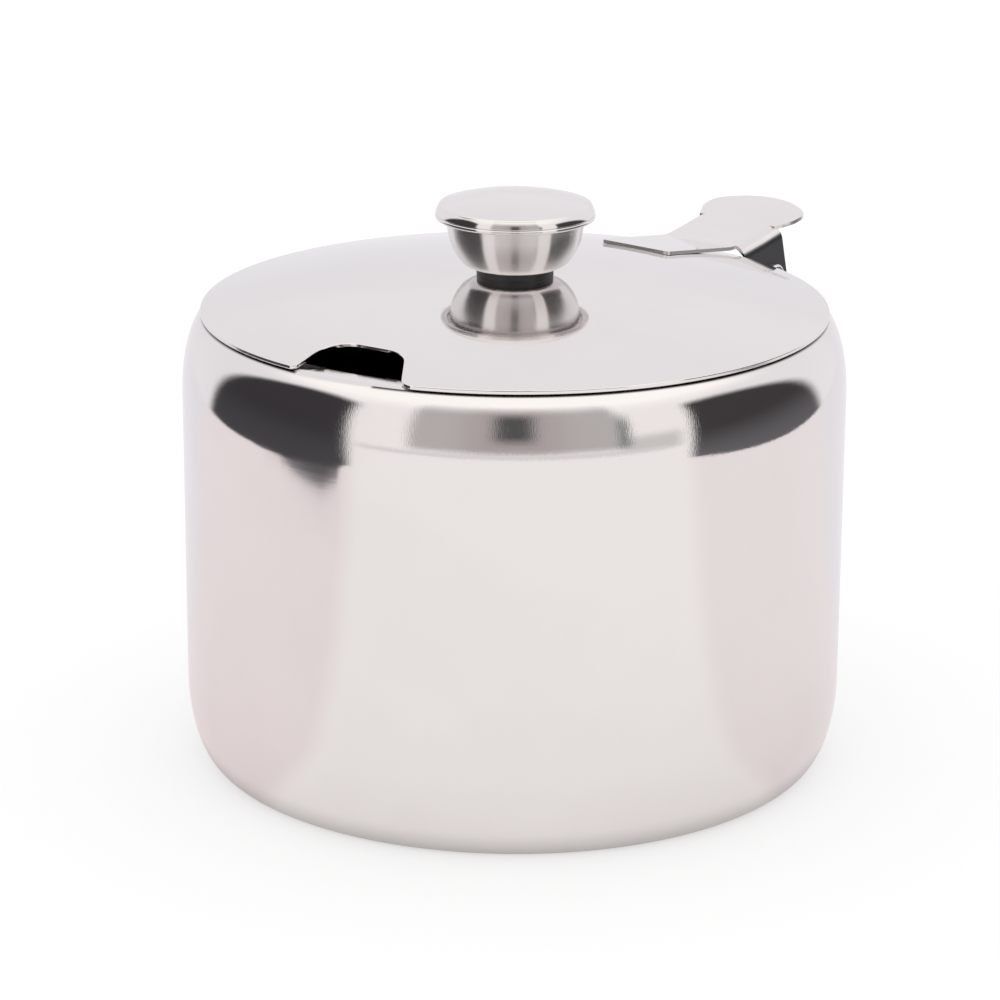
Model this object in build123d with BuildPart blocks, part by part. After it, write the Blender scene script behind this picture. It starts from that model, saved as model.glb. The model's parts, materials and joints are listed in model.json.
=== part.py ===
from build123d import *
import math
import os

# Sugar pot of polished sheet with a hinged, domed lid.
# Origin at the centre of the flat base, +Z up, hinge towards +Y, spoon notch towards -Y. Millimetres.

# Pot
pot_radius = 45.0
pot_height = 62.35
pot_sheet = 0.6
foot_inset = 4.2
foot_rise = 11.3
shoulder_inset = 3.7
shoulder_drop = 10.8
ledge_width = 2.55
mouth_round = 0.2

# Lid
lid_margin = 2.6
lid_rise = 4.45
lid_sheet = 0.6
lid_edge_round = 0.18
seat_gap = 0.12

# Spoon notch, which stands a little off the hinge's line as on the real lid
notch_turn = 5.9
notch_depth = 8.95
notch_left = 6.5
notch_right = 4.8
notch_flare = 30.5
notch_left_corner = 4.2
notch_right_corner = 4.5
notch_left_lip = 0.9
notch_right_lip = 2.2

# Thumb lever, one folded sheet, with its tail and saddle measured from the lid's rim
lever_sheet = 0.5
tail_length = 15.6
tail_corner = 0.8
weld_inset = 12.9
weld_sink = 0.05
saddle_out = 0.4
saddle_length = 5.5
saddle_rise = 8.4
saddle_bend = 10.0
pad_slope = 10.5
pad_bend = 8.0
pad_flare_length = 2.9
pad_length = 6.1
pad_end_bow = 3.5
pad_side_round = 4.0
pad_corner = 2.4

# Widths of the lever, each counted from the ears' outer faces
ear_half_width = 7.4
tail_step = 1.5
neck_step = 0.8
pad_overhang = 0.7

# Ears of the lever, which carry the pin
ear_bend = 1.9
ear_front_out = 0.9
ear_front_rise = 0.45
ear_toe_out = 4.7
ear_toe_down = 2.6
ear_back_out = 0.9
heel_out = 4.6
heel_down = 5.3

# Hinge, with the pin placed from the pot's wall and ledge
pin_out = 5.8
pin_drop = 4.35
pin_radius = 1.0
pin_head_radius = 1.9
pin_head_height = 0.75
pin_head_edge = 0.2
running_fit = 0.05
rivet_fit = 0.02
bracket_side_gap = 0.3
bracket_sheet = 0.9
bracket_length = 10.0
bracket_rise = 7.0
bracket_bend = 3.0
bracket_corner = 2.0

# Knob, with heights above the crown of the lid
knob_radius = 10.8
knob_crown_radius = 35.8
cap_sheet = 0.6
cap_shoulder_round = 1.3
cap_side = 1.13
cap_lip_rise = 0.6
cap_lip_inset = 0.5
cap_lip_round = 0.3
seam_height = 7.63
seam_inset = 0.9
bowl_sheet = 0.6
bowl_side_inset = 0.6
bowl_side_height = 3.88
bowl_side_round = 8.0
bowl_floor_inset = 2.05
bowl_floor_round = 2.6
flange_fit = 0.05
spacer_radius = 5.2
spacer_height = 1.0
insert_radius = 3.1
insert_length = 4.4

# Knob's fastening
screw_radius = 2.0
screw_clearance = 0.15
thread_fit = 0.02
screw_end_gap = 0.5
screw_head_radius = 3.8
screw_head_height = 2.2
screw_head_round = 0.9
slot_width = 1.0
slot_depth = 1.1
flat_washer_radius = 4.5
flat_washer_sheet = 0.5
spring_washer_radius = 3.6
spring_washer_sheet = 0.9
spring_washer_gap = 0.7

# Curves and heights that follow from the sizes above
foot_radius = pot_radius - foot_inset
ledge_radius = pot_radius - shoulder_inset
mouth_radius = ledge_radius - ledge_width
shoulder_start = pot_height - shoulder_drop
lid_radius = pot_radius - lid_margin
notch_reach = lid_radius - notch_depth
tail_reach = lid_radius - tail_length
weld_reach = lid_radius - weld_inset
saddle_reach = lid_radius + saddle_out
pad_root_reach = saddle_reach + saddle_length
ear_front_reach = lid_radius + ear_front_out
ear_front_height = pot_height + ear_front_rise
pin_reach = pot_radius + pin_out
pin_height = pot_height - pin_drop
ear_back_reach = pin_reach + ear_back_out
ear_toe_reach = ear_front_reach + ear_toe_out
ear_toe_height = pin_height - ear_toe_down
pad_wide_reach = ear_back_reach + pad_flare_length
pad_tip_reach = pad_wide_reach + pad_length
tail_half_width = ear_half_width - tail_step
pad_neck_half_width = ear_half_width - neck_step
pad_half_width = ear_half_width + pad_overhang
ear_inner = ear_half_width - lever_sheet
fold_half_width = ear_half_width - ear_bend
bracket_half_width = ear_inner - bracket_side_gap
bracket_bend_height = pin_height - bracket_rise
bracket_foot_height = bracket_bend_height - bracket_length
under_radius = (lid_radius**2 + lid_rise**2) / (2 * lid_rise)
top_radius = under_radius + lid_sheet
dome_centre = pot_height + seat_gap - math.sqrt(under_radius**2 - ledge_radius**2)
crown_height = dome_centre + top_radius
cap_lip_radius = knob_radius - cap_lip_inset
cap_lip_height = seam_height + cap_lip_rise
cap_edge_height = cap_lip_height + cap_side
seam_radius = cap_lip_radius - seam_inset
bowl_side_radius = seam_radius - bowl_side_inset
bowl_floor_radius = bowl_side_radius - bowl_floor_inset
screw_hole = screw_radius + screw_clearance


def dome_height(sphere, reach):
    """Height of one of the lid's two spheres at a distance from the pot's axis."""
    return dome_centre + math.sqrt(sphere**2 - reach**2)


def draw_pot_section(inset):
    """Half section of the pot, drawn inwards from its outer skin by the inset."""
    Line((0, inset), (foot_radius, inset))
    EllipticalCenterArc((foot_radius, foot_rise), foot_inset - inset, foot_rise - inset, start_angle=270)
    Line((pot_radius - inset, foot_rise), (pot_radius - inset, shoulder_start))
    EllipticalCenterArc((ledge_radius, shoulder_start), shoulder_inset - inset, shoulder_drop - inset)
    Line((ledge_radius, pot_height - inset), (0, pot_height - inset))
    Line((0, pot_height - inset), (0, inset))


def draw_dome_section(sphere):
    """Half section of what lies between one of the lid's spheres and the level of the rim's underside."""
    half = lid_radius / 2
    rim_foot = dome_height(under_radius, lid_radius)
    rim_top = dome_height(sphere, lid_radius)
    ThreePointArc((0, dome_height(sphere, 0)), (half, dome_height(sphere, half)), (lid_radius, rim_top))
    if rim_top > rim_foot:
        Line((lid_radius, rim_top), (lid_radius, rim_foot))
    Line((lid_radius, rim_foot), (0, rim_foot))
    Line((0, rim_foot), (0, dome_height(sphere, 0)))


def rim_distance(edge):
    """How far an upright edge stands from the pot's axis."""
    return math.hypot(edge.center().X, edge.center().Y)


os.makedirs("parts", exist_ok=True)


# Outer form of the pot, which the pot and the hinge bracket share
with BuildPart() as pot_form:
    with BuildSketch(Plane.XZ):
        with BuildLine():
            draw_pot_section(0)
        make_face()
    revolve(axis=Axis.Z)

# Pot body: foot, wall, shoulder and ledge drawn from one sheet, with a round mouth
with BuildPart() as pot_body:
    add(pot_form.part)
    with BuildSketch(Plane.XZ):
        with BuildLine():
            draw_pot_section(pot_sheet)
        make_face()
    revolve(axis=Axis.Z, mode=Mode.SUBTRACT)
    with BuildSketch(Plane.XY.offset(pot_height)):
        Circle(mouth_radius)
    extrude(amount=-2 * pot_sheet, mode=Mode.SUBTRACT)
    rings = edges().filter_by(GeomType.CIRCLE)
    fillet(rings.filter_by(lambda ring: abs(ring.radius - mouth_radius) < mouth_round), radius=mouth_round)

pot_body.part.label = "pot_body"
export_step(pot_body.part, "parts/pot_body.step")


# Hinge bracket: a strip welded to the rear wall, leaning out to a knuckle curled round the pin
knuckle_radius = pin_radius + running_fit + bracket_sheet
lean_out = pin_reach - pot_radius
lean_up = pin_height - bracket_bend_height
lean_angle = math.atan2(lean_up, lean_out) + math.asin(knuckle_radius / math.hypot(lean_out, lean_up))
lean_length = math.sqrt(lean_out**2 + lean_up**2 - knuckle_radius**2)
strip_top = (
    pot_radius + lean_length * math.cos(lean_angle),
    bracket_bend_height + lean_length * math.sin(lean_angle),
)
weld_length = bracket_bend_height - bracket_bend - bracket_foot_height

with BuildPart() as hinge_bracket:
    with BuildSketch(Plane.YZ):
        with BuildLine():
            FilletPolyline(
                (pot_radius, bracket_foot_height), (pot_radius, bracket_bend_height), strip_top, radius=bracket_bend
            )
            offset(amount=bracket_sheet, side=Side.RIGHT)
        make_face()
        with Locations((pot_radius, bracket_foot_height)):
            Rectangle(2 * bracket_sheet, weld_length, align=(Align.CENTER, Align.MIN))
        with Locations((pin_reach, pin_height)):
            Circle(knuckle_radius)
            Circle(pin_radius + running_fit, mode=Mode.SUBTRACT)
    extrude(amount=bracket_half_width, both=True)
    with BuildSketch(Plane.XZ):
        with Locations((0, bracket_foot_height)):
            RectangleRounded(
                2 * bracket_half_width,
                2 * (pot_height - bracket_foot_height),
                bracket_corner,
                align=(Align.CENTER, Align.MIN),
            )
    extrude(amount=-2 * pot_radius, mode=Mode.INTERSECT)
    add(pot_form.part, mode=Mode.SUBTRACT)

hinge_bracket.part.label = "hinge_bracket"
export_step(hinge_bracket.part, "parts/hinge_bracket.step")


# Outer form of the lid, which the lid, the lever's tail and the knob's neck share
with BuildPart() as lid_form:
    with BuildSketch(Plane.XZ):
        with BuildLine():
            draw_dome_section(top_radius)
        make_face()
    revolve(axis=Axis.Z)

# Lid plate: a shallow dome of sheet, notched for the spoon
notch_plane = Plane(origin=(0, 0, crown_height)).rotated((0, 0, notch_turn))
notch_end = 2 * lid_radius
notch_spread = (notch_end - notch_reach) * math.tan(math.radians(notch_flare))

with BuildPart() as lid_plate:
    add(lid_form.part)
    with BuildSketch(Plane.XZ):
        with BuildLine():
            draw_dome_section(under_radius)
        make_face()
    revolve(axis=Axis.Z, mode=Mode.SUBTRACT)
    with BuildSketch(notch_plane):
        with BuildLine():
            FilletPolyline(
                (-notch_left, -notch_end),
                (-notch_left, -notch_reach),
                (notch_right, -notch_reach),
                (notch_right + notch_spread, -notch_end),
                radius=(notch_left_corner, notch_right_corner),
            )
            Line((notch_right + notch_spread, -notch_end), (-notch_left, -notch_end))
        make_face()
    extrude(amount=-pot_height, mode=Mode.SUBTRACT)
    uprights = edges().filter_by(Axis.Z).sort_by(rim_distance)
    left_lip = uprights[-2:].sort_by(Axis.X)[0]
    right_lip = uprights[-2:].sort_by(Axis.X)[-1]
    fillet(left_lip, radius=notch_left_lip)
    fillet(right_lip, radius=notch_right_lip)
    skins = faces().filter_by(GeomType.SPHERE)
    fillet(skins.edges(), radius=lid_edge_round)
    with Locations((0, 0, crown_height)):
        Hole(screw_hole, depth=3 * lid_sheet)

lid_plate.part.label = "lid_plate"
export_step(lid_plate.part, "parts/lid_plate.step")


# Thumb lever from the side: its tail lies along the dome where it is welded, its saddle passes over the
# lid's rim, and its pad rises outwards
tail_slope = weld_reach / math.sqrt(top_radius**2 - weld_reach**2)
tail_lift = (lever_sheet - weld_sink) * math.sqrt(1 + tail_slope**2)
weld_height = dome_height(top_radius, weld_reach) + tail_lift
tail_height = weld_height + tail_slope * (weld_reach - tail_reach)
saddle_height = weld_height - tail_slope * (saddle_reach - weld_reach)
pad_root_height = saddle_height + math.tan(math.radians(saddle_rise)) * (pad_root_reach - saddle_reach)
pad_tip_height = pad_root_height + math.tan(math.radians(pad_slope)) * (pad_tip_reach - pad_root_reach)
heel_reach = pin_reach + heel_out
heel_height = pin_height - heel_down


def draw_lever_top():
    """Top of the lever from its tail to the tip of its pad."""
    FilletPolyline(
        (tail_reach, tail_height),
        (saddle_reach, saddle_height),
        (pad_root_reach, pad_root_height),
        (pad_tip_reach, pad_tip_height),
        radius=(saddle_bend, pad_bend),
    )


def draw_below_lever():
    """Side view of everything below the lever's top, down to the pot's base."""
    draw_lever_top()
    Polyline((pad_tip_reach, pad_tip_height), (pad_tip_reach, 0), (tail_reach, 0), (tail_reach, tail_height))


with BuildSketch(Plane.YZ) as lever_side:
    with BuildLine():
        draw_lever_top()
        offset(amount=lever_sheet, side=Side.RIGHT)
    make_face()

# What lies between the ears, under the folded sheet
with BuildPart() as ear_hollow:
    with BuildSketch(Plane.YZ):
        with BuildLine():
            draw_below_lever()
        make_face()
        with BuildLine():
            draw_lever_top()
            offset(amount=lever_sheet, side=Side.RIGHT)
        make_face(mode=Mode.SUBTRACT)
    extrude(amount=ear_inner, both=True)
    folds = edges().filter_by(lambda fold: fold.vertices().sort_by(Axis.Z)[0].Z > pot_height)
    fillet(folds.filter_by(lambda fold: abs(fold.center().X) > ear_inner / 2), radius=ear_bend - lever_sheet)

# Ears with the sheet between them
with BuildPart() as ear_fold:
    with BuildSketch(Plane.YZ):
        with BuildLine():
            draw_below_lever()
        make_face()
    extrude(amount=ear_half_width, both=True)
    folds = edges().filter_by(lambda fold: fold.vertices().sort_by(Axis.Z)[0].Z > pot_height)
    fillet(folds.filter_by(lambda fold: abs(fold.center().X) > ear_inner / 2), radius=ear_bend)
    add(ear_hollow.part, mode=Mode.SUBTRACT)
    with BuildSketch(Plane.YZ):
        with BuildLine():
            Polyline(
                (ear_front_reach, crown_height),
                (ear_front_reach, ear_front_height),
                (ear_toe_reach, ear_toe_height),
                (heel_reach - heel_out / 2, heel_height),
                (heel_reach, heel_height),
                (ear_back_reach, crown_height),
                close=True,
            )
        make_face()
    extrude(amount=ear_half_width, both=True, mode=Mode.INTERSECT)

with BuildPart() as thumb_lever:
    extrude(lever_side.sketch, amount=pad_half_width, both=True)
    with BuildSketch(Plane.XY):
        with BuildLine():
            side = pad_tip_reach - pad_end_bow
            Polyline(
                (pad_half_width, side),
                (pad_half_width, pad_wide_reach),
                (pad_neck_half_width, ear_back_reach),
                (fold_half_width, ear_back_reach),
                (fold_half_width, ear_front_reach),
                (tail_half_width, ear_front_reach),
                (tail_half_width, tail_reach),
                (-tail_half_width, tail_reach),
                (-tail_half_width, ear_front_reach),
                (-fold_half_width, ear_front_reach),
                (-fold_half_width, ear_back_reach),
                (-pad_neck_half_width, ear_back_reach),
                (-pad_half_width, pad_wide_reach),
                (-pad_half_width, side),
            )
            ThreePointArc((-pad_half_width, side), (0, pad_tip_reach), (pad_half_width, side))
        make_face()
        corners = vertices().sort_by(Axis.Y)
        fillet(corners[-2:], radius=pad_corner)
        sides = vertices().filter_by(lambda corner: abs(corner.Y - pad_wide_reach) < pad_corner / 2)
        fillet(sides, radius=pad_side_round)
        fillet(vertices().group_by(Axis.Y)[0], radius=tail_corner)
    extrude(amount=2 * pot_height, mode=Mode.INTERSECT)
    add(ear_fold.part)
    with Locations(Plane.YZ):
        with Locations((pin_reach, pin_height)):
            Hole(pin_radius + rivet_fit)
    add(lid_form.part, mode=Mode.SUBTRACT)

thumb_lever.part.label = "thumb_lever"
export_step(thumb_lever.part, "parts/thumb_lever.step")


# Hinge pin: a rivet through both ears, with a low round head on each side
with BuildPart() as hinge_pin:
    with BuildSketch(Plane.YZ):
        with Locations((pin_reach, pin_height)):
            Circle(pin_radius)
    extrude(amount=ear_half_width, both=True)
    with BuildSketch(Plane.YZ.offset(ear_half_width), Plane.YZ.offset(-ear_half_width - pin_head_height)):
        with Locations((pin_reach, pin_height)):
            Circle(pin_head_radius)
    extrude(amount=pin_head_height)
    rims = edges().filter_by(GeomType.CIRCLE).filter_by(lambda rim: rim.radius > pin_radius + rivet_fit)
    crowns = rims.group_by(Axis.X)[0] + rims.group_by(Axis.X)[-1]
    fillet(crowns, radius=pin_head_height - pin_head_edge)

hinge_pin.part.label = "hinge_pin"
export_step(hinge_pin.part, "parts/hinge_pin.step")


# Knob spacer: a heat-resisting ring, seated on the dome
floor_height = crown_height + spacer_height

with BuildPart() as knob_spacer:
    with BuildSketch(Plane.XY.offset(floor_height)):
        Circle(spacer_radius)
        Circle(screw_hole, mode=Mode.SUBTRACT)
    extrude(amount=-2 * spacer_height)
    add(lid_form.part, mode=Mode.SUBTRACT)

knob_spacer.part.label = "knob_spacer"
export_step(knob_spacer.part, "parts/knob_spacer.step")


# Knob bowl: the lower shell, flanged outwards at its top
cap_inner_radius = knob_radius - cap_sheet
flange_height = crown_height + seam_height + cap_sheet

with BuildPart() as knob_bowl:
    with BuildSketch(Plane.XZ):
        with BuildLine():
            FilletPolyline(
                (screw_hole, floor_height),
                (bowl_floor_radius, floor_height),
                (bowl_side_radius, crown_height + bowl_side_height),
                (seam_radius, crown_height + seam_height),
                (seam_radius, flange_height),
                (cap_inner_radius - flange_fit, flange_height),
                radius=(bowl_floor_round, bowl_side_round, 0, 0),
            )
            offset(amount=bowl_sheet, side=Side.LEFT)
        make_face()
    revolve(axis=Axis.Z)

knob_bowl.part.label = "knob_bowl"
export_step(knob_bowl.part, "parts/knob_bowl.step")


# Knob cap: the crowned upper shell, its lip rolled in under the bowl's flange
def knob_crown(drop, reach):
    """Height of the knob's crown, or of its inner side at that drop, at a distance from the axis."""
    crown_centre = crown_height + cap_edge_height - math.sqrt(knob_crown_radius**2 - knob_radius**2)
    return crown_centre + math.sqrt((knob_crown_radius - drop) ** 2 - reach**2)


with BuildPart() as knob_cap:
    with BuildSketch(Plane.XZ):
        with BuildLine():
            middle = knob_radius / 2
            ThreePointArc(
                (0, knob_crown(0, 0)), (middle, knob_crown(0, middle)), (knob_radius, knob_crown(0, knob_radius))
            )
            Polyline(
                (knob_radius, knob_crown(0, knob_radius)),
                (knob_radius, crown_height + cap_lip_height),
                (cap_lip_radius, crown_height + seam_height),
                (seam_radius, crown_height + seam_height),
                (seam_radius, flange_height),
                (cap_inner_radius, flange_height),
                (cap_inner_radius, knob_crown(cap_sheet, cap_inner_radius)),
            )
            ThreePointArc(
                (cap_inner_radius, knob_crown(cap_sheet, cap_inner_radius)),
                (middle, knob_crown(cap_sheet, middle)),
                (0, knob_crown(cap_sheet, 0)),
            )
            Line((0, knob_crown(cap_sheet, 0)), (0, knob_crown(0, 0)))
        make_face()
        shoulder = vertices().group_by(Axis.X)[-1].sort_by(Axis.Y)[-1]
        fillet(shoulder, radius=cap_shoulder_round)
        lip = vertices().group_by(Axis.Y)[0].sort_by(Axis.X)[-1]
        fillet(lip, radius=cap_lip_round)
    revolve(axis=Axis.Z)

knob_cap.part.label = "knob_cap"
export_step(knob_cap.part, "parts/knob_cap.step")


# Knob insert: a threaded boss welded to the bowl's floor
insert_foot = floor_height + bowl_sheet

with BuildPart() as knob_insert:
    with BuildSketch(Plane.XY.offset(insert_foot)):
        Circle(insert_radius)
        Circle(screw_radius + thread_fit, mode=Mode.SUBTRACT)
    extrude(amount=insert_length)

knob_insert.part.label = "knob_insert"
export_step(knob_insert.part, "parts/knob_insert.step")


# Flat washer, which bears on the underside of the dome by its rim
washer_top = dome_height(under_radius, flat_washer_radius)

with BuildPart() as flat_washer:
    with BuildSketch(Plane.XY.offset(washer_top)):
        Circle(flat_washer_radius)
        Circle(screw_hole, mode=Mode.SUBTRACT)
    extrude(amount=-flat_washer_sheet)

flat_washer.part.label = "flat_washer"
export_step(flat_washer.part, "parts/flat_washer.step")


# Spring washer: a flat ring with a cut
spring_top = washer_top - flat_washer_sheet

with BuildPart() as spring_washer:
    with BuildSketch(Plane.XY.offset(spring_top)):
        Circle(spring_washer_radius)
        Circle(screw_hole, mode=Mode.SUBTRACT)
        Rectangle(spring_washer_radius, spring_washer_gap, align=(Align.MIN, Align.CENTER), mode=Mode.SUBTRACT)
    extrude(amount=-spring_washer_sheet)

spring_washer.part.label = "spring_washer"
export_step(spring_washer.part, "parts/spring_washer.step")


# Knob screw: slotted pan head under the lid, with its end inside the insert
head_top = spring_top - spring_washer_sheet
screw_end = insert_foot + insert_length - screw_end_gap

with BuildPart() as knob_screw:
    with BuildSketch(Plane.XY.offset(head_top)):
        Circle(screw_head_radius)
    extrude(amount=-screw_head_height)
    fillet(edges().group_by(Axis.Z)[0], radius=screw_head_round)
    with BuildSketch(Plane.XY.offset(head_top - screw_head_height)):
        Rectangle(slot_width, 2 * screw_head_radius)
    extrude(amount=slot_depth, mode=Mode.SUBTRACT)
    with BuildSketch(Plane.XY.offset(head_top)):
        Circle(screw_radius)
    extrude(amount=screw_end - head_top)

knob_screw.part.label = "knob_screw"
export_step(knob_screw.part, "parts/knob_screw.step")
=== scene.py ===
"""Polished sugar pot with a hinged lid: finishes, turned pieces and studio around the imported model."""

import json
import logging
import math
from dataclasses import dataclass
from enum import Enum
from typing import Optional, Sequence

import bmesh
import bpy
from mathutils import Matrix, Vector

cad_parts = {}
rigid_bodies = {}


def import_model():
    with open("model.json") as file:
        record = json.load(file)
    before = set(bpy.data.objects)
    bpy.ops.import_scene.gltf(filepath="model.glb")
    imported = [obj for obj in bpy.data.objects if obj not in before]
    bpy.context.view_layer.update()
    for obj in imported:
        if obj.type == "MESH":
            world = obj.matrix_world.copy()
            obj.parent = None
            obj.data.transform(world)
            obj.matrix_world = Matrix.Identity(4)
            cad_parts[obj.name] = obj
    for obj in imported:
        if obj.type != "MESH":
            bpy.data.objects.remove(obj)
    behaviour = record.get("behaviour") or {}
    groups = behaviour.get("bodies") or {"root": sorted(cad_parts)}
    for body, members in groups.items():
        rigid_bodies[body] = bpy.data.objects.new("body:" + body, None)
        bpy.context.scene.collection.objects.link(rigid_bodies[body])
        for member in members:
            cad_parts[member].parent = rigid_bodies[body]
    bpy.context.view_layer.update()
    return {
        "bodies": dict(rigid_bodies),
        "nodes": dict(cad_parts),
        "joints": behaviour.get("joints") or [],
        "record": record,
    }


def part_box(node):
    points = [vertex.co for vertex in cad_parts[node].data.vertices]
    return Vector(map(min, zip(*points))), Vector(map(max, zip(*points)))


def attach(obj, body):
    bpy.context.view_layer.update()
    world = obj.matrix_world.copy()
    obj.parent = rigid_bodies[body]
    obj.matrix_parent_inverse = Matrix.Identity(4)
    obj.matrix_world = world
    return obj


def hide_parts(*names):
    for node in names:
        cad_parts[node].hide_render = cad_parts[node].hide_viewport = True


LOG = logging.getLogger("sugar_pot")
MM = 0.001
UP = Vector((0.0, 0.0, 1.0))

Colour = tuple[float, float, float]
Point = tuple[float, float]
Limits = tuple[float, float]
Socket = bpy.types.NodeSocket


class Slot(Enum):
    """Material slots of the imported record."""

    POLISHED = "polished_steel"
    HINGE = "hinge_steel"
    FASTENER = "fastener_steel"
    RING = "dark_ring"


class Body(Enum):
    """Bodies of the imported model."""

    POT = "pot"
    LID = "lid"


class Measure(Enum):
    """What a tinted zone of the studio is measured by."""

    TURN = "degrees from the camera's side, positive towards the picture's right"
    OFF = "degrees from the camera's side, either way"
    RISE = "degrees above the level"
    REACH = "metres from the pot's axis"


class Net:
    """Short way to add nodes to a node tree and to join them."""

    def __init__(self, tree: bpy.types.NodeTree) -> None:
        """Keeps the tree.

        Args:
            tree: Node tree that gets the nodes.
        """
        self.tree = tree

    def node(self, kind: str, **settings: object) -> bpy.types.Node:
        """Adds a node.

        Args:
            kind: Blender's identifier of the node type.
            **settings: Properties to set on it.

        Returns:
            The new node.
        """
        made = self.tree.nodes.new(kind)
        for name, value in settings.items():
            setattr(made, name, value)
        return made

    def link(self, source: object, target: Socket) -> None:
        """Joins an output to an input, or sets the input where the source is a plain value.

        Args:
            source: Output socket, number, colour or vector. None leaves the input alone.
            target: Input socket.
        """
        if isinstance(source, Socket):
            self.tree.links.new(source, target)
        elif source is not None:
            target.default_value = source

    def feed(self, made: bpy.types.Node, named: dict[str, object]) -> None:
        """Links or sets a node's inputs by name.

        Args:
            made: The node.
            named: Value or socket of each input.
        """
        for name, source in named.items():
            self.link(source, made.inputs[name])

    def math(self, operation: str, a: object, b: object = None, c: object = None) -> Socket:
        """Adds a Math node.

        Args:
            operation: Name of the operation.
            a: First value or socket.
            b: Second value or socket.
            c: Third value or socket.

        Returns:
            The result's socket.
        """
        made = self.node("ShaderNodeMath", operation=operation)
        for source, target in zip((a, b, c), made.inputs):
            self.link(source, target)
        return made.outputs[0]

    def product(self, first: Socket, *others: object) -> Socket:
        """Multiplies values in order.

        Args:
            first: First value's socket.
            *others: Values or sockets to multiply it by.

        Returns:
            The result's socket.
        """
        for other in others:
            first = self.math("MULTIPLY", first, other)
        return first

    def ramp(self, value: object, low: float, high: float, start: float = 0.0, end: float = 1.0) -> Socket:
        """Adds a smooth step from one value to another.

        Args:
            value: What is mapped.
            low: Where the step starts.
            high: Where the step ends.
            start: Result at the low end.
            end: Result at the high end.

        Returns:
            The result's socket.
        """
        made = self.node("ShaderNodeMapRange", interpolation_type="SMOOTHSTEP")
        for source, target in zip((value, low, high, start, end), made.inputs):
            self.link(source, target)
        return made.outputs[0]

    def fade(self, value: object, low: float, high: float) -> Socket:
        """Adds a smooth step from one down to nothing."""
        return self.ramp(value, low, high, 1.0, 0.0)

    def mix(self, fac: object, a: object, b: object) -> Socket:
        """Adds a colour mix.

        Args:
            fac: Share of the second colour.
            a: First colour.
            b: Second colour.

        Returns:
            The mixed colour's socket.
        """
        made = self.node("ShaderNodeMix", data_type="RGBA")
        for source, name in ((fac, "Factor_Float"), (a, "A_Color"), (b, "B_Color")):
            target = next(s for s in made.inputs if s.identifier == name)
            self.link(rgba(source) if isinstance(source, tuple) else source, target)
        return next(s for s in made.outputs if s.identifier == "Result_Color")

    def dot(self, vector: Socket, axis: Vector) -> Socket:
        """Adds a dot product with a fixed axis.

        Args:
            vector: Vector socket.
            axis: Fixed direction.

        Returns:
            The result's socket.
        """
        made = self.node("ShaderNodeVectorMath", operation="DOT_PRODUCT")
        self.link(vector, made.inputs[0])
        self.link(axis, made.inputs[1])
        return made.outputs["Value"]

    def length(self, vector: Socket) -> Socket:
        """Adds the length of a vector.

        Args:
            vector: Vector socket.

        Returns:
            The length's socket.
        """
        made = self.node("ShaderNodeVectorMath", operation="LENGTH")
        self.link(vector, made.inputs[0])
        return made.outputs["Value"]

    def apart(self, vector: Socket) -> tuple[Socket, ...]:
        """Takes a vector apart.

        Args:
            vector: Vector socket.

        Returns:
            The sockets of its three shares.
        """
        made = self.node("ShaderNodeSeparateXYZ")
        self.link(vector, made.inputs[0])
        return tuple(made.outputs)

    def joined(self, x: object, y: object, z: object) -> Socket:
        """Joins three shares to a vector.

        Args:
            x: First share, a value or a socket.
            y: Second share.
            z: Third share.

        Returns:
            The vector's socket.
        """
        made = self.node("ShaderNodeCombineXYZ")
        for source, target in zip((x, y, z), made.inputs):
            self.link(source, target)
        return made.outputs[0]

    def noise(self, vector: Socket, scale: object, detail: float = 2.0, roughness: float = 0.5) -> Socket:
        """Adds a noise texture.

        Args:
            vector: Where it is looked up.
            scale: Its scale, per metre.
            detail: Number of finer layers.
            roughness: Share of each finer layer.

        Returns:
            The socket of its grey value.
        """
        made = self.node("ShaderNodeTexNoise", noise_dimensions="3D")
        self.feed(made, {"Vector": vector, "Scale": scale, "Detail": detail, "Roughness": roughness})
        return made.outputs["Fac"]

    def bump(
        self, height: Socket, strength: float, distance: float, normal: Optional[Socket] = None
    ) -> Socket:
        """Adds a bump.

        Args:
            height: Height's socket.
            strength: Share of the bump.
            distance: Height of a full step, in metres.
            normal: Normal that it starts from, where it isn't the surface's own.

        Returns:
            The bumped normal's socket.
        """
        made = self.node("ShaderNodeBump")
        self.feed(made, {"Strength": strength, "Distance": distance, "Height": height, "Normal": normal})
        return made.outputs["Normal"]

    def turned_into(self, vector: Socket, start: str, end: str) -> Socket:
        """Carries a normal from one space to another.

        Args:
            vector: Normal to carry.
            start: Space that it is in, OBJECT or WORLD.
            end: Space that it is wanted in.

        Returns:
            The carried normal's socket.
        """
        made = self.node("ShaderNodeVectorTransform", vector_type="NORMAL")
        made.convert_from, made.convert_to = start, end
        self.link(vector, made.inputs[0])
        return made.outputs[0]

    def facing(self) -> tuple[Socket, ...]:
        """Takes the surface's normal apart in the piece's own frame."""
        normal = self.node("ShaderNodeNewGeometry").outputs["Normal"]
        return self.apart(self.turned_into(normal, "WORLD", "OBJECT"))

    def leaned(self, lift: object, keep: float) -> Socket:
        """Leans the surface's normal in the piece's own frame.

        Args:
            lift: What is added to its upright share.
            keep: Share of its own upright part that stays.

        Returns:
            The leaned normal's socket.
        """
        x, y, z = self.facing()
        unit = self.node("ShaderNodeVectorMath", operation="NORMALIZE")
        self.link(self.joined(x, y, self.math("MULTIPLY_ADD", z, keep, lift)), unit.inputs[0])
        return self.turned_into(unit.outputs[0], "OBJECT", "WORLD")


def rgba(colour: Colour) -> tuple[float, float, float, float]:
    """Colour with full alpha."""
    return (*colour, 1.0)


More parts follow.
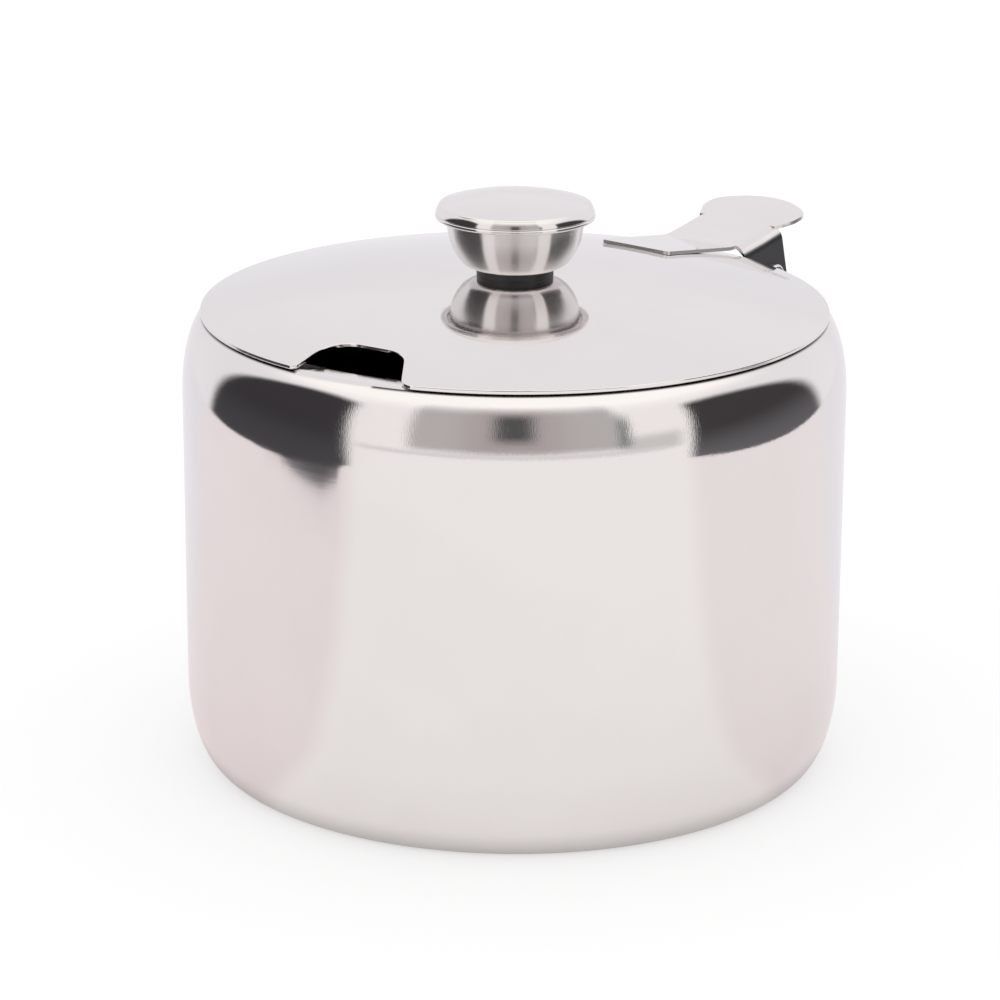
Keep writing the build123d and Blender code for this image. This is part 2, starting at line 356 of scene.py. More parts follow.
def new_group(name: str, inputs: dict[str, Optional[float]], outputs: Sequence[str]) -> Net:
    """Makes an empty shader node group.

    Args:
        name: Name of the group.
        inputs: Name and default of each input, where None stands for a vector.
        outputs: Name of each output value.

    Returns:
        The group's nodes, with its input and output nodes in place.
    """
    group = bpy.data.node_groups.new(name, "ShaderNodeTree")
    for label, default in inputs.items():
        kind = "NodeSocketVector" if default is None else "NodeSocketFloat"
        made = group.interface.new_socket(label, in_out="INPUT", socket_type=kind)
        if default is not None:
            made.default_value = default
    for label in outputs:
        group.interface.new_socket(label, in_out="OUTPUT", socket_type="NodeSocketFloat")
    group.nodes.new("NodeGroupInput")
    group.nodes.new("NodeGroupOutput")
    return Net(group)


@dataclass(frozen=True)
class PolishMarks:
    """Marks of polished sheet: lines round the axis, cross scratches, haze and upright streaks."""

    height_share: float = 1.3
    seed_step: float = 0.1
    line_scale: float = 2600.0
    line_turn: float = 0.0012
    line_detail: float = 3.0
    line_depth: float = 0.25
    scratch_scale: float = 260.0
    scratch_turn: float = 0.12
    scratch_across: float = 0.35
    scratch_detail: float = 6.0
    scratch_rough: float = 0.72
    scratch_limits: Limits = (0.60, 0.78)
    scratch_depth: float = 0.6
    haze_scale: float = 30.0
    haze_detail: float = 4.0
    haze_rough: float = 0.62
    haze_limits: Limits = (0.38, 0.68)
    streak_scale: float = 330.0
    streak_across: float = 4.0

    def group(self) -> bpy.types.NodeTree:
        """Builds the shader group.

        Returns:
            Group with a height for bump, and masks of the haze, the scratches and the streaks.
        """
        inputs = {
            "Vector": None,
            "Line Scale": self.line_scale,
            "Scratch Scale": self.scratch_scale,
            "Haze Scale": self.haze_scale,
            "Seed": 0.0,
        }
        net = new_group("polish_marks", inputs, ("Height", "Haze", "Scratches", "Streaks"))
        given = net.tree.nodes["Group Input"].outputs
        x, y, z = net.apart(given["Vector"])
        radius = net.math("SQRT", net.math("ADD", net.math("POWER", x, 2.0), net.math("POWER", y, 2.0)))
        turn = net.math("ARCTAN2", y, x)
        across = net.math("ADD", radius, net.product(z, self.height_share))
        seed = given["Seed"]

        lines_at = net.joined(net.product(turn, self.line_turn), across, net.product(seed, self.seed_step))
        lines = net.noise(lines_at, given["Line Scale"], self.line_detail)
        cross_across = net.product(across, self.scratch_across)
        cross_at = net.joined(net.product(turn, self.scratch_turn), cross_across, seed)
        cross = net.noise(cross_at, given["Scratch Scale"], self.scratch_detail, self.scratch_rough)
        scratch = net.ramp(cross, *self.scratch_limits)
        haze = net.noise(given["Vector"], given["Haze Scale"], self.haze_detail, self.haze_rough)
        cloud = net.ramp(haze, *self.haze_limits)
        streaks_at = net.joined(turn, net.product(across, self.streak_across), seed)

        out = net.tree.nodes["Group Output"].inputs
        raised = net.math("ADD", net.product(lines, self.line_depth), cloud)
        net.link(net.math("SUBTRACT", raised, net.product(scratch, self.scratch_depth)), out["Height"])
        net.link(cloud, out["Haze"])
        net.link(scratch, out["Scratches"])
        net.link(net.noise(streaks_at, self.streak_scale), out["Streaks"])
        return net.tree


@dataclass(frozen=True)
class SurfaceGrain:
    """Fine grain and rubbed patches of matt plastic."""

    grain_scale: float = 2400.0
    patch_scale: float = 160.0
    patch_detail: float = 3.0
    patch_limits: Limits = (0.35, 0.7)

    def group(self) -> bpy.types.NodeTree:
        """Builds the shader group.

        Returns:
            Group with a height for bump and a mask of the patches.
        """
        net = new_group(
            "surface_grain",
            {"Vector": None, "Grain Scale": self.grain_scale, "Patch Scale": self.patch_scale},
            ("Height", "Patches"),
        )
        given = net.tree.nodes["Group Input"].outputs
        patches = net.noise(given["Vector"], given["Patch Scale"], self.patch_detail)
        out = net.tree.nodes["Group Output"].inputs
        net.link(net.noise(given["Vector"], given["Grain Scale"]), out["Height"])
        net.link(net.ramp(patches, *self.patch_limits), out["Patches"])
        return net.tree


class Effects:
    """The shared shader groups, each built once."""

    def __init__(self) -> None:
        """Builds the groups."""
        self.polish = PolishMarks().group()
        self.grain = SurfaceGrain().group()


def new_material(name: str) -> tuple[bpy.types.Material, Net, bpy.types.Node, Socket]:
    """Makes a material with its shader.

    Args:
        name: Name of the material.

    Returns:
        The material, its nodes, its shader node and the socket of the piece's own coordinates.
    """
    material = bpy.data.materials.new(name)
    material.use_nodes = True
    net = Net(material.node_tree)
    shader = material.node_tree.nodes["Principled BSDF"]
    return material, net, shader, net.node("ShaderNodeTexCoord").outputs["Object"]


@dataclass(frozen=True)
class FoldedSheet:
    """Dull folded sides and soft cut edges of thin sheet. Lengths in metres."""

    dull_beyond: float = 7.35 * MM
    dull_soft: float = 0.25 * MM
    dull_rise: Limits = (64.4 * MM, 65.4 * MM)
    # the folded ears are made near-black and rougher than the rest of the lever
    dull_colour: Colour = (0.10, 0.10, 0.105)
    dull_roughness: float = 0.38
    edge_upright: Limits = (0.25, 0.45)
    edge_roughness: float = 0.25
    edge_lift: float = 0.32

    def masks(self, net: Net, where: Socket) -> tuple[Socket, Socket]:
        """Builds the masks of the dull sides and of the cut edges.

        Args:
            net: The material's nodes.
            where: The piece's own coordinates.

        Returns:
            The sockets of both masks.
        """
        x, _, z = net.apart(where)
        side = net.ramp(net.math("ABSOLUTE", x), self.dull_beyond - self.dull_soft, self.dull_beyond)
        dull = net.product(side, net.fade(z, *self.dull_rise))
        steep = net.fade(net.math("ABSOLUTE", net.facing()[2]), *self.edge_upright)
        return dull, net.product(steep, net.math("SUBTRACT", 1.0, dull))


@dataclass(frozen=True)
class PaintedGapShade:
    """Painted shade: a dark ring on the ledge under the lid's edge, where the gap between lid and pot is in
    shade, but not below the spoon notch. Lengths in metres.
    """

    start: float = 42.1 * MM
    end: float = 42.85 * MM
    soft: float = 0.1 * MM
    rise: Limits = (61.8 * MM, 62.1 * MM)
    notch_side: float = 3.8 * MM
    notch_half: Limits = (5.6 * MM, 6.2 * MM)
    # near-black colour of the painted shade in the gap under the lid
    colour: Colour = (0.02, 0.018, 0.018)

    def mask(self, net: Net, where: Socket) -> Socket:
        """Builds the mask of the painted shade ring.

        Args:
            net: The material's nodes.
            where: The piece's own coordinates.

        Returns:
            The mask's socket.
        """
        x, y, z = net.apart(where)
        reach = net.length(net.joined(x, y, None))
        inner = net.ramp(reach, self.start - self.soft, self.start)
        outer = net.fade(reach, self.end - self.soft, self.end)
        beside = net.ramp(net.math("ABSOLUTE", net.math("SUBTRACT", x, self.notch_side)), *self.notch_half)
        kept = net.math("MAXIMUM", beside, net.math("GREATER_THAN", y, 0.0))
        return net.product(inner, outer, net.ramp(z, *self.rise), kept)


@dataclass(frozen=True)
class Streaks:
    """Upright rub marks on the pot's shoulder. Lengths in metres."""

    rise: Limits = (50.5 * MM, 54.0 * MM)
    strength: float = 0.14
    relief: float = 0.00003


@dataclass(frozen=True)
class Turning:
    """Fine turning lines round the axis, which draw reflections out upright."""

    stretch: float = 0.9
    rotation: float = 0.25
    upright_share: float = 0.3


@dataclass(frozen=True)
class SteelFinish:
    """Polished or plain stainless sheet."""

    name: str
    colour: Colour = (0.80, 0.778, 0.775)
    hazed: Colour = (0.775, 0.752, 0.75)
    roughness: float = 0.055
    haze_roughness: float = 0.035
    scratch_roughness: float = 0.10
    relief: float = 0.00006
    strength: float = 0.06
    haze_scale: float = 30.0
    seed: float = 0.0
    folded: Optional[FoldedSheet] = None
    painted_gap_shade: Optional[PaintedGapShade] = None
    streaks: Optional[Streaks] = None
    turning: Optional[Turning] = None

    def build(self, effects: Effects) -> bpy.types.Material:
        """Makes the material.

        Args:
            effects: Shared shader groups.

        Returns:
            The finished material.
        """
        material, net, shader, where = new_material(self.name)
        marks = net.node("ShaderNodeGroup", node_tree=effects.polish)
        net.feed(marks, {"Vector": where, "Haze Scale": self.haze_scale, "Seed": self.seed})
        colour = net.mix(marks.outputs["Haze"], self.colour, self.hazed)
        rough = net.math("MULTIPLY_ADD", marks.outputs["Haze"], self.haze_roughness, self.roughness)
        rough = net.math("MULTIPLY_ADD", marks.outputs["Scratches"], self.scratch_roughness, rough)
        lean = None
        if self.folded is not None:
            dull, edge = self.folded.masks(net, where)
            colour = net.mix(dull, colour, self.folded.dull_colour)
            rough = net.math("MULTIPLY_ADD", dull, self.folded.dull_roughness, rough)
            rough = net.math("MULTIPLY_ADD", edge, self.folded.edge_roughness, rough)
            lean = net.leaned(net.product(edge, self.folded.edge_lift), 1.0)
        # painted shade: the ledge darkens to near-black under the lid's edge
        if self.painted_gap_shade is not None:
            colour = net.mix(self.painted_gap_shade.mask(net, where), colour, self.painted_gap_shade.colour)
        if self.turning is not None:
            shader.inputs["Anisotropic"].default_value = self.turning.stretch
            shader.inputs["Anisotropic Rotation"].default_value = self.turning.rotation
            around = net.node("ShaderNodeTangent", direction_type="RADIAL", axis="Z")
            net.link(around.outputs[0], shader.inputs["Tangent"])
            lean = net.leaned(0.0, self.turning.upright_share)
        net.link(colour, shader.inputs["Base Color"])
        net.link(rough, shader.inputs["Roughness"])
        net.link(self.normal(net, where, marks, lean), shader.inputs["Normal"])
        shader.inputs["Metallic"].default_value = 1.0
        return material

    def normal(self, net: Net, where: Socket, marks: bpy.types.Node, lean: Optional[Socket]) -> Socket:
        """Builds the normal from the polishing marks and the streaks.

        Args:
            net: The material's nodes.
            where: The piece's own coordinates.
            marks: Node of the polishing marks.
            lean: Normal that the marks start from, where it isn't the surface's own.

        Returns:
            The normal's socket.
        """
        polished = net.bump(marks.outputs["Height"], self.strength, self.relief, lean)
        if self.streaks is None:
            return polished
        zone = net.ramp(net.apart(where)[2], *self.streaks.rise)
        height = net.product(marks.outputs["Streaks"], zone)
        return net.bump(height, self.streaks.strength, self.streaks.relief, polished)


@dataclass(frozen=True)
class PlasticFinish:
    """Matt dark plastic."""

    name: str
    colour: Colour = (0.022, 0.021, 0.022)
    rubbed: Colour = (0.045, 0.043, 0.044)
    roughness: float = 0.42
    rubbed_roughness: float = 0.12
    relief: float = 0.00005
    strength: float = 0.25

    def build(self, effects: Effects) -> bpy.types.Material:
        """Makes the material.

        Args:
            effects: Shared shader groups.

        Returns:
            The finished material.
        """
        material, net, shader, where = new_material(self.name)
        grain = net.node("ShaderNodeGroup", node_tree=effects.grain)
        net.link(where, grain.inputs["Vector"])
        patches = grain.outputs["Patches"]
        rough = net.math("MULTIPLY_ADD", patches, self.rubbed_roughness, self.roughness)
        net.link(net.mix(patches, self.colour, self.rubbed), shader.inputs["Base Color"])
        net.link(rough, shader.inputs["Roughness"])
        net.link(net.bump(grain.outputs["Height"], self.strength, self.relief), shader.inputs["Normal"])
        return material


FINISHES = (
    SteelFinish("wall_steel", painted_gap_shade=PaintedGapShade(), streaks=Streaks()),
    SteelFinish("lid_steel", roughness=0.045, seed=3.0),
    SteelFinish("lever_steel", seed=5.0, folded=FoldedSheet()),
    SteelFinish("knob_steel", roughness=0.07, haze_scale=90.0, seed=7.0),
    SteelFinish("bowl_steel", roughness=0.2, haze_scale=90.0, seed=8.0, turning=Turning()),
    SteelFinish("plain_steel", colour=(0.6, 0.59, 0.585), hazed=(0.5, 0.49, 0.485), roughness=0.22),
    SteelFinish("pin_steel", roughness=0.14, haze_scale=200.0, seed=9.0),
    PlasticFinish("ring_plastic"),
)


def between(first: Point, last: Point, share: float) -> Point:
    """Point on a straight line.

    Args:
        first: Start of the line.
        last: End of the line.
        share: Share of the way from its start.

    Returns:
        The point.
    """
    return (first[0] + (last[0] - first[0]) * share, first[1] + (last[1] - first[1]) * share)


def arc(centre: Point, radii: Point, start: float, end: float, count: int) -> list[Point]:
    """Points of an elliptical arc.

    Args:
        centre: Centre of the ellipse, as distance from the axis and height.
        radii: Its two half axes.
        start: First angle in degrees, 0 outwards and 90 up.
        end: Last angle in degrees.
        count: Number of steps.

    Returns:
        The points, both ends included.
    """
    turns = [math.radians(start + (end - start) * i / count) for i in range(count + 1)]
    return [(centre[0] + radii[0] * math.cos(t), centre[1] + radii[1] * math.sin(t)) for t in turns]


def crown(sphere: float, top: float, start: float, end: float, count: int) -> list[Point]:
    """Points on a crown, a part of a sphere on the axis.

    Args:
        sphere: Radius of the sphere.
        top: Height of its highest point.
        start: Distance from the axis of the first point.
        end: Distance from the axis of the last point.
        count: Number of steps.

    Returns:
        The points, both ends included.
    """
    reach = [start + (end - start) * i / count for i in range(count + 1)]
    return [(r, top - sphere + math.sqrt(sphere**2 - r**2)) for r in reach]


class Lathe:
    """Geometry Nodes tree that turns a profile round the axis."""

    weld_distance = 0.002 * MM

    def __init__(self) -> None:
        """Builds the tree, a grid with rows along the profile and columns turned round the axis."""
        self.tree = bpy.data.node_groups.new("lathe", "GeometryNodeTree")
        face = self.tree.interface
        face.new_socket("Profile", in_out="INPUT", socket_type="NodeSocketGeometry")
        self.segments = face.new_socket("Segments", in_out="INPUT", socket_type="NodeSocketInt")
        self.weld = face.new_socket("Weld Distance", in_out="INPUT", socket_type="NodeSocketFloat")
        self.material = face.new_socket("Material", in_out="INPUT", socket_type="NodeSocketMaterial")
        face.new_socket("Turned", in_out="OUTPUT", socket_type="NodeSocketGeometry")
        net = Net(self.tree)
        given = net.node("NodeGroupInput").outputs
        size = net.node("GeometryNodeAttributeDomainSize", component="MESH")
        net.link(given["Profile"], size.inputs[0])
        points = size.outputs["Point Count"]
        grid = net.node("GeometryNodeMeshGrid")
        net.feed(grid, {"Vertices X": net.math("ADD", given["Segments"], 1.0), "Vertices Y": points})
        index = net.node("GeometryNodeInputIndex").outputs[0]
        column = net.math("FLOOR", net.math("DIVIDE", net.math("ADD", index, 0.5), points))
        row = net.math("SUBTRACT", index, net.product(column, points))
        sample = net.node("GeometryNodeSampleIndex", data_type="FLOAT_VECTOR", domain="POINT")
        spot = net.node("GeometryNodeInputPosition").outputs[0]
        net.feed(sample, {"Geometry": given["Profile"], "Value": spot, "Index": row})
        turn = net.node("ShaderNodeVectorRotate", rotation_type="Z_AXIS")
        angle = net.product(net.math("DIVIDE", column, given["Segments"]), math.tau)
        net.feed(turn, {"Vector": sample.outputs["Value"], "Angle": angle})
        place = net.node("GeometryNodeSetPosition")
        net.feed(place, {"Geometry": grid.outputs["Mesh"], "Position": turn.outputs[0]})
        weld = net.node("GeometryNodeMergeByDistance")
        net.feed(weld, {"Geometry": place.outputs[0], "Distance": given["Weld Distance"]})
        real = net.node("GeometryNodeRealizeInstances")
        net.link(weld.outputs[0], real.inputs[0])
        dress = net.node("GeometryNodeSetMaterial")
        net.feed(dress, {"Geometry": real.outputs[0], "Material": given["Material"]})
        net.link(dress.outputs[0], net.node("NodeGroupOutput").inputs[0])

    def turn(
        self, name: str, profile: Sequence[Point], segments: int, material: bpy.types.Material
    ) -> bpy.types.Object:
        """Turns a profile into a plain mesh object.

        Args:
            name: Name of the piece.
            profile: Distance from the axis and height of each point, in millimetres, in order.
            segments: Number of steps round the axis.
            material: Finish of the piece.

        Returns:
            The piece, at the origin, with no modifier left on it.
        """
        line = bpy.data.meshes.new(name + "_profile")
        spans = [(i, i + 1) for i in range(len(profile) - 1)]
        line.from_pydata([(r * MM, 0.0, z * MM) for r, z in profile], spans, [])
        holder = bpy.data.objects.new(name + "_profile", line)
        bpy.context.scene.collection.objects.link(holder)
        modifier = holder.modifiers.new("lathe", "NODES")
        modifier.node_group = self.tree
        modifier[self.segments.identifier] = segments
        modifier[self.weld.identifier] = self.weld_distance
        modifier[self.material.identifier] = material
        current = bpy.context.evaluated_depsgraph_get()
        mesh = bpy.data.meshes.new_from_object(holder.evaluated_get(current))
        bpy.data.objects.remove(holder)
        mesh.name = name
        return finished(name, mesh, material)


def finished(name: str, mesh: bpy.types.Mesh, material: bpy.types.Material) -> bpy.types.Object:
    """Makes an object of a closed mesh with its faces outwards and smooth.

    Args:
        name: Name of the piece.
        mesh: Its mesh, in metres in the model's frame.
        material: Its finish.

    Returns:
        The object.
    """
    work = bmesh.new()
    work.from_mesh(mesh)
    bmesh.ops.recalc_face_normals(work, faces=work.faces)
    for face in work.faces:
        face.smooth = True
    work.to_mesh(mesh)
    work.free()
    mesh.materials.clear()
    mesh.materials.append(material)
    piece = bpy.data.objects.new(name, mesh)
    bpy.context.scene.collection.objects.link(piece)
    return piece


def place(piece: bpy.types.Object, body: Body, slot: Slot, *nodes: str) -> None:
    """Joins a piece to its body and lets it stand for its CAD nodes.

    Args:
        piece: The piece.
        body: Body it rides on.
        slot: Material slot of the record; not used.
        *nodes: CAD nodes it stands for.
    """
    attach(piece, body.value)
    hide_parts(*nodes)
    LOG.info("%s: %d faces on %s", piece.name, len(piece.data.polygons), body.value)


def dress(frame: dict, finish: bpy.types.Material, *nodes: str) -> None:
    """Gives CAD nodes a finish.

    Args:
        finish: Material for them.
        *nodes: Names of the nodes.
    """
    for name in nodes:
        holder = frame["nodes"][name]
        for slot in holder.material_slots:
            slot.material = finish
        LOG.info("%s: CAD node with %s", name, finish.name)


@dataclass
class PotBody:
    """The drawn pot: flat base, round foot, straight wall, tall shoulder and ledge. Sizes in millimetres."""

    radius: float = 45.0
    height: float = 62.35
    sheet: float = 0.6
    foot_inset: float = 4.2
    foot_rise: float = 11.3
    shoulder_inset: float = 3.7
    shoulder_drop: float = 10.8
    mouth_radius: float = 38.75
    mouth_round: float = 0.2
    segments: int = 320
    bend_steps: int = 40
    wall_steps: int = 12
    lip_steps: int = 6
    base_rings: tuple[float, ...] = (0.0, 0.3, 0.6, 0.9, 0.98)
    ledge_rings: tuple[float, ...] = (0.1, 0.5, 0.9)

    def skin(self, inset: float) -> list[Point]:
        """One skin of the wall, from the edge of the base to the edge of the ledge.

        Args:
            inset: Distance inside the outer skin.

        Returns:
            The skin's points from the bottom up.
        """
        foot = (self.radius - self.foot_inset, self.foot_rise)
        ledge = (self.radius - self.shoulder_inset, self.height - self.shoulder_drop)
        low = arc(foot, (self.foot_inset - inset, self.foot_rise - inset), -90, 0, self.bend_steps)
        high = arc(ledge, (self.shoulder_inset - inset, self.shoulder_drop - inset), 0, 90, self.bend_steps)
        ends = (self.radius - inset, self.foot_rise), (self.radius - inset, high[0][1])
        wall = [between(*ends, i / self.wall_steps) for i in range(1, self.wall_steps)]
        return low + wall + high

    def profile(self) -> list[Point]:
        """Closed half section, from the base's centre outside to the base's centre inside."""
        outer, inner = self.skin(0.0), self.skin(self.sheet)
        base = [(outer[0][0] * share, 0.0) for share in self.base_rings]
        floor = [(inner[0][0] * share, self.sheet) for share in self.base_rings[::-1]]
        edge = (self.mouth_radius + self.mouth_round, self.height - self.mouth_round)
        low_edge = (edge[0], self.height - self.sheet + self.mouth_round)
        radii = (self.mouth_round, self.mouth_round)
        lip = arc(edge, radii, 90, 180, self.lip_steps) + arc(low_edge, radii, 180, 270, self.lip_steps)
        ledge = [between(lip[0], outer[-1], share) for share in self.ledge_rings[::-1]]
        under = [between(lip[-1], inner[-1], share) for share in self.ledge_rings]
        return base + outer + ledge + lip + under + inner[::-1] + floor

    def build(self, lathe: Lathe, finish: bpy.types.Material) -> None:
        """Turns the pot and lets it stand for its CAD node.

        Args:
            lathe: The turning tree.
            finish: Finish of the sheet.
        """
        piece = lathe.turn("pot_shell", self.profile(), self.segments, finish)
        place(piece, Body.POT, Slot.POLISHED, "pot_body")


@dataclass
class Lid:
    """Domed lid with its spoon notch, and the folded thumb lever welded on it."""

    plate: str = "lid_plate"
    lever: str = "thumb_lever"

    def build(self, frame: dict, plate_finish: bpy.types.Material, lever_finish: bpy.types.Material) -> None:
        """Dresses the lid's CAD nodes.

        Args:
            plate_finish: Finish of the dome.
            lever_finish: Finish of the lever, dull on its ears.
        """
        dress(frame, plate_finish, self.plate)
        dress(frame, lever_finish, self.lever)


@dataclass
class Hinge:
    """Bracket on the pot's wall and the riveted pin."""

    bracket: str = "hinge_bracket"
    pin: str = "hinge_pin"

    def build(self, frame: dict, plain: bpy.types.Material, bright: bpy.types.Material) -> None:
        """Dresses the hinge's CAD nodes.

        Args:
            plain: Finish of the bracket.
            bright: Finish of the pin.
        """
        dress(frame, plain, self.bracket)
        dress(frame, bright, self.pin)


@dataclass
class Knob:
    """Hollow knob on a dark ring, with its screw and washers.

    Sizes are in millimetres, and heights start from the cap's lower edge.
    """

    hidden: tuple[str, ...] = ("knob_insert", "knob_screw", "spring_washer", "flat_washer")
    rise: float = 3.398
    sphere: float = 35.8
    crown_reach: float = 10.08
    sheet: float = 0.6
    shoulder: Point = (9.98, 1.616)
    shoulder_round: float = 0.35
    shoulder_turns: Limits = (70.0, 20.0)
    flank_foot: Point = (10.72, 0.68)
    flank_bulge: float = 0.065
    flank_steps: int = 10
    groove: tuple[Point, ...] = ((10.70, 0.66), (10.59, 0.63))
    lip: Point = (10.45, 0.33)
    lip_round: float = 0.33
    lip_turns: Limits = (62.0, -90.0)
    inside: tuple[Point, ...] = ((9.75, 0.0), (9.75, 1.25))
    under_reach: float = 9.6
    crown_steps: int = 24
    bend_steps: int = 8
    under_steps: int = 16
    segments: int = 240

    def flank(self, start: Point) -> list[Point]:
        """Softly curved flank between the cap's shoulder and its groove.

        Args:
            start: Where the shoulder ends.

        Returns:
            The flank's points, without its start.
        """
        points = []
        for step in range(1, self.flank_steps):
            share = step / self.flank_steps
            out, up = between(start, self.flank_foot, share)
            arch = 4 * share * (1 - share)
            points.append((out + self.flank_bulge * arch, up))
        return points + [self.flank_foot]

    def profile(self, foot: float) -> list[Point]:
        """Closed half section of the cap, from its top outside round the lip to its top inside.

        Args:
            foot: Height of the cap's lower edge.

        Returns:
            The section's points.
        """
        top = crown(self.sphere, self.rise, 0.0, self.crown_reach, self.crown_steps)
        bend = arc(self.shoulder, (self.shoulder_round,) * 2, *self.shoulder_turns, self.bend_steps)
        bead = arc(self.lip, (self.lip_round,) * 2, *self.lip_turns, self.under_steps)
        under = crown(self.sphere, self.rise - self.sheet, self.under_reach, 0.0, self.under_steps)
        outside = top + bend + self.flank(bend[-1]) + list(self.groove) + bead
        return [(r, foot + z) for r, z in outside + list(self.inside) + under]

    def build(
        self,
        frame: dict,
        lathe: Lathe,
        cap: bpy.types.Material,
        bowl: bpy.types.Material,
        ring: bpy.types.Material,
        plain: bpy.types.Material,
    ) -> None:
        """Turns the knob's cap and dresses its other CAD nodes.

        Args:
            lathe: The turning tree.
            cap: Finish of the cap.
            bowl: Finish of the lower shell.
            ring: Finish of the spacer.
            plain: Finish of the fastening.
        """
        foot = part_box("knob_cap")[0][2] / MM
        turned = lathe.turn("knob_cap_shell", self.profile(foot), self.segments, cap)
        place(turned, Body.LID, Slot.POLISHED, "knob_cap")
        dress(frame, bowl, "knob_bowl")
        dress(frame, ring, "knob_spacer")
        dress(frame, plain, *self.hidden)


@dataclass(frozen=True)
class Viewpoint:
    """Camera of the picture.

    Distances are in pot radii, angles in radians, the sensor's width in millimetres, the focal length in
    widths of the sensor, and the clip limits in metres.
    """

    unit: float = 45.0 * MM
    turn: float = math.radians(38.4)
    elevation: float = 0.3227
    roll: float = 0.0062
    focal: float = 3.784
    distance: float = 11.6011
    yaw: float = -0.0036
    pitch: float = 0.0148
    aim_height: float = 0.6
    sensor: float = 36.0
    clip: Limits = (0.01, 20.0)

    @property
    def towards(self) -> Vector:
        """Level direction from the pot to the camera."""
        return Vector((math.sin(self.turn), -math.cos(self.turn), 0.0))

    @property
    def right(self) -> Vector:
        """Level direction towards the picture's right side."""
        return Vector((math.cos(self.turn), math.sin(self.turn), 0.0))

    def build(self) -> None:
        """Makes the camera and sets it as the scene's own."""
        reach, rise = math.cos(self.elevation), math.sin(self.elevation)
        outwards = self.towards * reach + UP * rise
        spot = outwards * self.distance * self.unit + UP * self.aim_height * self.unit
        forward = -outwards
        over = self.towards * -rise + UP * reach
        looks = forward * math.cos(self.yaw) + self.right * math.sin(self.yaw)
        side = self.right * math.cos(self.yaw) - forward * math.sin(self.yaw)
        ahead = looks * math.cos(self.pitch) + over * math.sin(self.pitch)
        above = over * math.cos(self.pitch) - looks * math.sin(self.pitch)
        x_axis = side * math.cos(self.roll) + above * math.sin(self.roll)
        y_axis = above * math.cos(self.roll) - side * math.sin(self.roll)
        data = bpy.data.cameras.new("camera")
        data.sensor_width = self.sensor
        data.lens = self.focal * self.sensor
        data.clip_start, data.clip_end = self.clip
        camera = bpy.data.objects.new("camera", data)
        bpy.context.scene.collection.objects.link(camera)
        axes = Matrix((x_axis, y_axis, -ahead)).transposed().to_4x4()
        camera.matrix_world = Matrix.Translation(spot) @ axes
        bpy.context.scene.camera = camera


@dataclass(frozen=True)
class Step:
    """Smooth step of a mask, from its start value at the low end to its end value at the high end."""

    measure: Measure
    low: float
    high: float
    start: float = 0.0
    end: float = 1.0


def grows(measure: Measure, low: float, high: float) -> Step:
    """Step from nothing up to one."""
    return Step(measure, low, high)


def fades(measure: Measure, low: float, high: float, start: float = 1.0) -> Step:
    """Step from one, or from the given start, down to nothing."""
    return Step(measure, low, high, start, 0.0)


@dataclass(frozen=True)
class Zone:
    """Part of the room or of the paper with a tint of its own, where all its steps are up."""

    name: str
    tint: Colour
    steps: tuple[Step, ...]

    def lay(self, net: Net, colour: object, measures: dict[Measure, Socket]) -> Socket:
        """Lays the zone over a colour.

        Args:
            net: Nodes of the room or of the paper.
            colour: What lies below.
            measures: Socket of each measure.

        Returns:
            The new colour's socket.
        """
        steps = [net.ramp(measures[s.measure], s.low, s.high, s.start, s.end) for s in self.steps]
        laid = net.mix(net.product(*steps), colour, self.tint)
        laid.node.label = self.name
        return laid


@dataclass(frozen=True)
class Flag:
    """Dark side of the room beyond the paper, as polished metal mirrors it.

    Angles are in degrees, measured from the camera's side towards the flag's side. Its top falls away on both
    sides of its peak.
    """

    side: float
    front_edge: float
    front_soft: float
    peak: float
    top: float
    fall: float
    tint: Colour
    low_tint: Colour
    top_soft: float = 4.0
    low_rise: Limits = (-13.0, 2.0)

    def lay(self, net: Net, colour: Socket, measures: dict[Measure, Socket]) -> Socket:
        """Lays the flag over a colour.

        Args:
            net: Nodes of the room.
            colour: What lies below.
            measures: Socket of each measure.

        Returns:
            The new colour's socket.
        """
        rise = measures[Measure.RISE]
        around = net.product(measures[Measure.TURN], self.side)
        beyond = net.ramp(around, self.front_edge - self.front_soft, self.front_edge + self.front_soft)
        away = net.math("POWER", net.math("SUBTRACT", around, self.peak), 2.0)
        top = net.math("MULTIPLY_ADD", away, -self.fall, self.top)
        below = net.ramp(net.math("SUBTRACT", top, rise), -self.top_soft, self.top_soft)
        tint = net.mix(net.ramp(rise, *self.low_rise), self.low_tint, self.tint)
        return net.mix(net.product(beyond, below), colour, tint)


